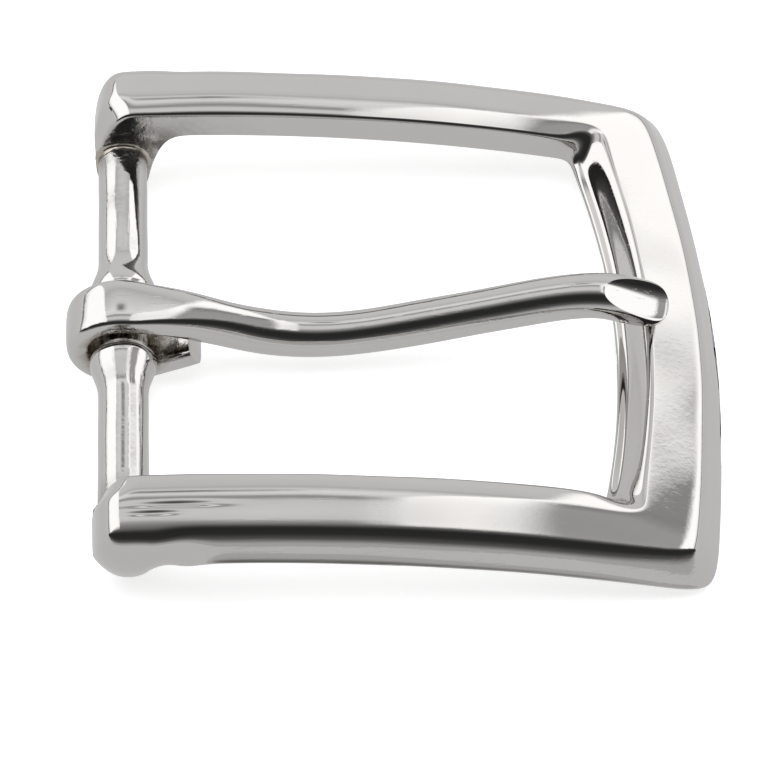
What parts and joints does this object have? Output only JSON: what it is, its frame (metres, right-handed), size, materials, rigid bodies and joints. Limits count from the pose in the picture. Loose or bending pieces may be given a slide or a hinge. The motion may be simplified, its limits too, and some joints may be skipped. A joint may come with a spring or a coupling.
{
  "type": "belt buckle",
  "caption": "Polished prong buckle for a dress belt: curved rectangular frame with a bowed crossbar, a round hinge bar and a bent wire tongue that swings over the crossbar.",
  "frame": {"origin": "on the hinge bar's axis, half way between the lugs", "axes": "+X runs along the belt from the hinge bar towards the crossbar, +Y across the belt along the hinge bar, +Z out of the buckle's front; the buckle lies on its back at z = -4.8 mm"},
  "size_m": [0.0555, 0.0496, 0.0112],
  "materials": {
    "polished_nickel": "mirror-polished nickel plate with faint polishing marks",
    "polished_nickel_bar": "mirror-polished nickel plate, slightly turned",
    "polished_nickel_tongue": "mirror-polished nickel plate on drawn wire",
    "braze_bead": "plated over a rough braze bead, brownish in the crevices"
  },
  "bodies": {
    "frame": {"frame": "polished_nickel", "hinge_bar": "polished_nickel_bar", "upper_braze_ring": "braze_bead", "lower_braze_ring": "braze_bead"},
    "tongue": {"tongue": "polished_nickel_tongue"}
  },
  "joints": [
    {"name": "tongue_hinge", "type": "hinge", "parent": "frame", "child": "tongue", "pos_m": [0, 0, 0], "axis": [0, -1, 0], "range_deg": [0, 350]}
  ]
}
